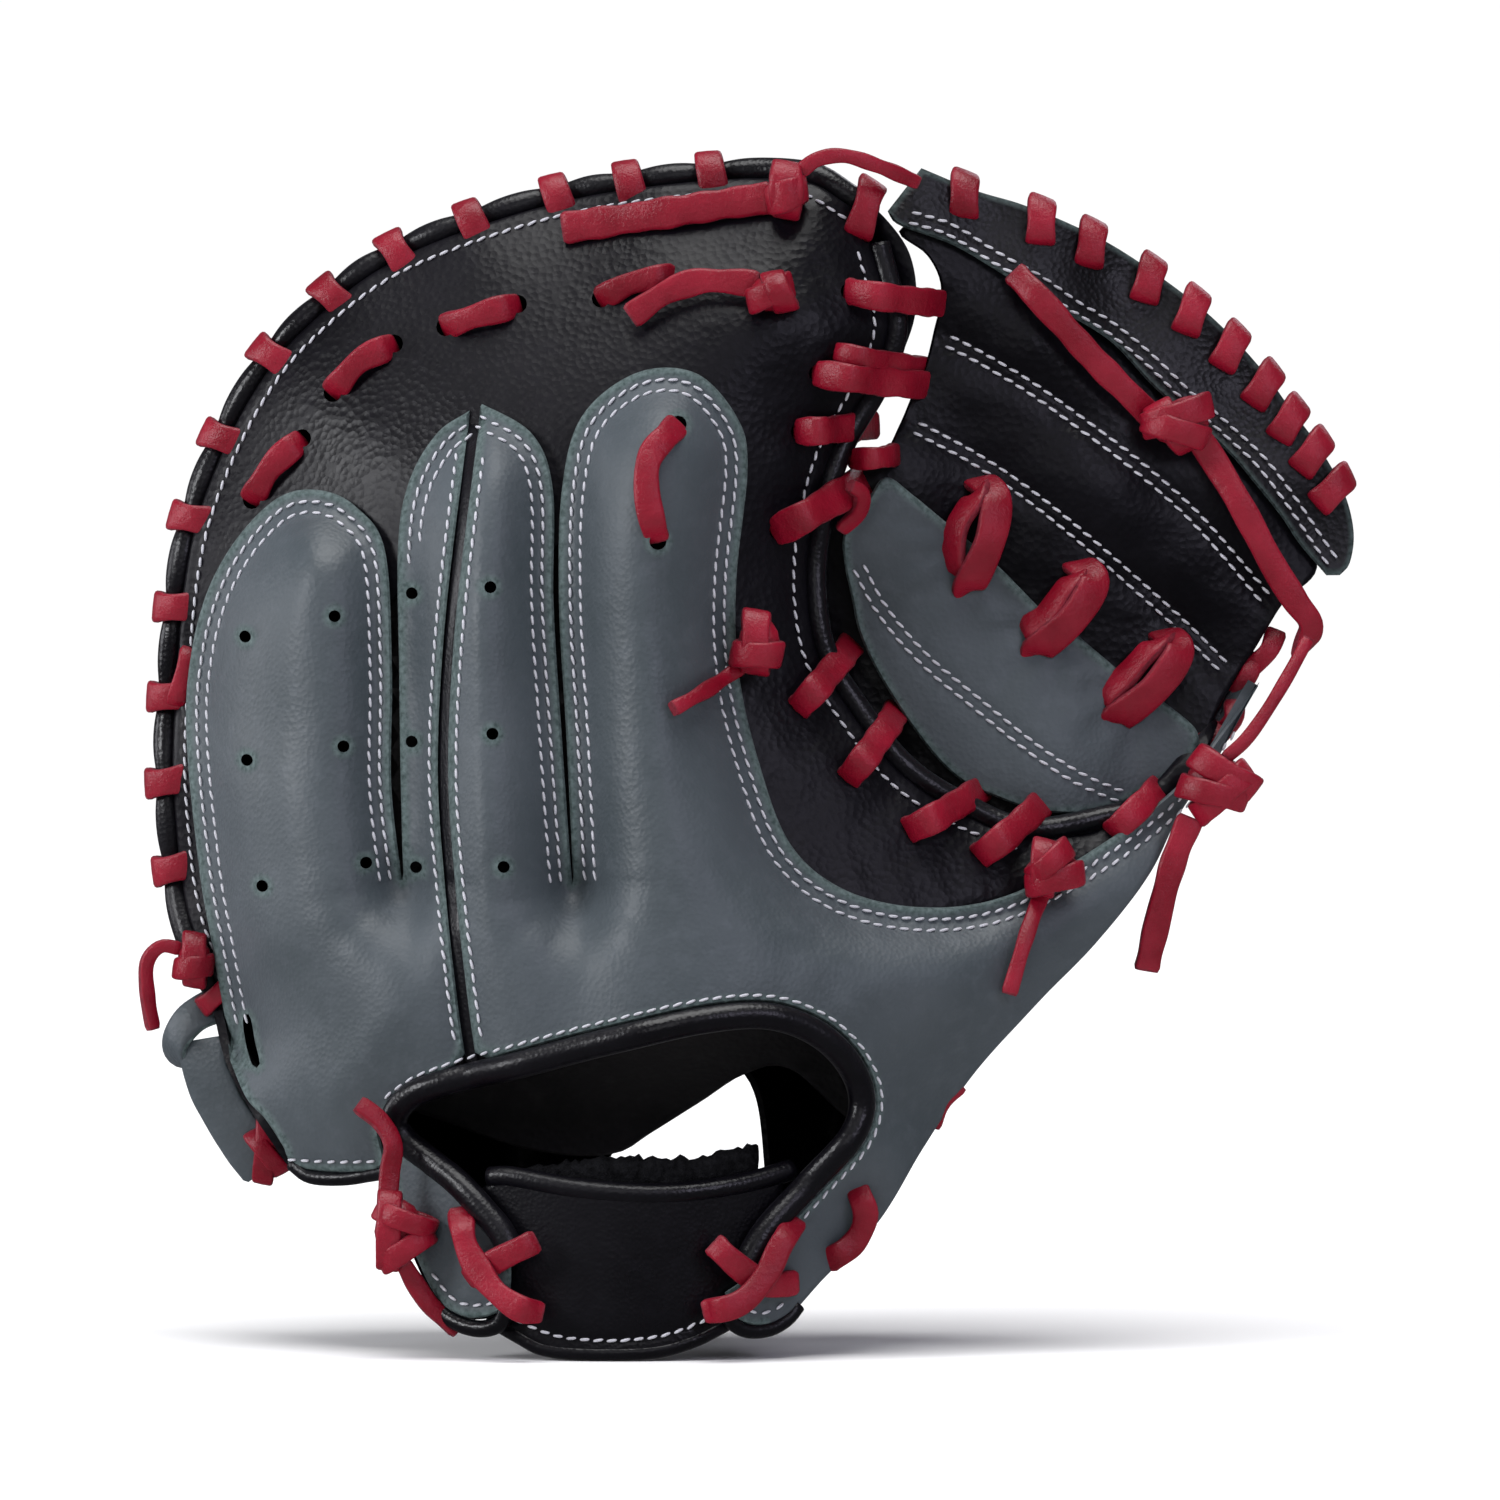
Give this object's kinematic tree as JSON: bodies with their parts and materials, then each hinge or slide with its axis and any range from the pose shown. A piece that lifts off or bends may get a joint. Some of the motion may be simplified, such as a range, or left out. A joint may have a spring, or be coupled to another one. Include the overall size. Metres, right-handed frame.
{
  "type": "baseball catchers mitt",
  "caption": "Left-hand baseball catcher's mitt with a padded palm rim, open-back wrist strap, laced two-piece web and rawhide edge lacing; folds along the pocket.",
  "frame": {"origin": "middle of the mitt's box in plan, on the surface that its heel stands on", "axes": "+X from the little finger towards the thumb, +Y from the back of the hand towards the palm and pocket, +Z from the heel towards the fingertips"},
  "size_m": [0.2725, 0.1352, 0.2644],
  "materials": {
    "grey_leather": "smooth full-grain leather, satin",
    "black_leather": "fine pebbled leather, satin",
    "black_binding": "rolled smooth leather binding",
    "lining_leather": "soft lining leather, matt",
    "red_rawhide": "dyed rawhide lace, satin with rough edges",
    "felt_padding": "dense wool felt",
    "fleece_pile": "short fleece pile"
  },
  "bodies": {
    "finger_side": {"back_leather_little_ring": "grey_leather", "back_leather_middle_index": "grey_leather", "back_shell": "black_leather", "centre_welt": "black_binding", "crotch_binding_fingers": "black_binding", "crotch_knot": "red_rawhide", "edge_binding_fingers": "black_binding", "edge_lace_fingers": "red_rawhide", "hand_lining_fingers": "lining_leather", "heel_knot": "red_rawhide", "heel_tab_little": "grey_leather", "index_lace": "red_rawhide", "little_edge_knot": "red_rawhide", "little_finger_loop": "grey_leather", "opening_binding_fingers": "black_binding", "palm_fold_strip": "black_leather", "palm_leather_fingers": "black_leather", "palm_padding_fingers": "felt_padding", "running_lace_a": "red_rawhide", "running_lace_b": "red_rawhide", "running_lace_c": "red_rawhide", "second_knot": "red_rawhide", "strap_fleece_pad": "fleece_pile", "strap_lace_little": "red_rawhide", "strap_lace_thumb": "red_rawhide", "top_knot": "red_rawhide", "top_lace_end": "red_rawhide", "web_cross_lace_a": "red_rawhide", "web_edge_lace_fingers": "red_rawhide", "web_lace_1": "red_rawhide", "web_lace_2": "red_rawhide", "web_lace_3": "red_rawhide", "web_lace_4": "red_rawhide", "web_lace_5": "red_rawhide", "web_lace_6": "red_rawhide", "web_lower_panel_fingers": "grey_leather", "web_panel_fingers": "black_leather", "web_tie_lace": "red_rawhide", "web_top_band_fingers": "black_leather", "wrist_strap": "black_leather"},
    "thumb_side": {"back_leather_thumb": "grey_leather", "crotch_binding_thumb": "black_binding", "crotch_shell_thumb": "black_leather", "hand_lining_thumb": "lining_leather", "opening_binding_thumb": "black_binding", "palm_leather_thumb": "black_leather", "palm_padding_thumb": "felt_padding", "thumb_edge_binding": "black_binding", "thumb_heel_lace": "red_rawhide", "thumb_knot_outer": "red_rawhide", "thumb_knot_outer_end": "red_rawhide", "thumb_knot_upper": "red_rawhide", "web_cross_lace_b": "red_rawhide", "web_cross_lace_c": "red_rawhide", "web_edge_lace_thumb": "red_rawhide", "web_lace_7": "red_rawhide", "web_lower_panel_thumb": "grey_leather", "web_panel_thumb": "black_leather", "web_tie_knot": "red_rawhide", "web_top_band_thumb": "black_leather"}
  },
  "joints": [
    {"name": "pocket_fold", "type": "hinge", "parent": "finger_side", "child": "thumb_side", "pos_m": [-0.0127, -0.0408, 0.011], "axis": [0.4383, 0.2311, 0.8686], "range_deg": [0, 21], "stiffness_Nm_per_rad": 1.5, "springref_deg": -6.88, "deforming": ["palm_fold_strip"]}
  ]
}
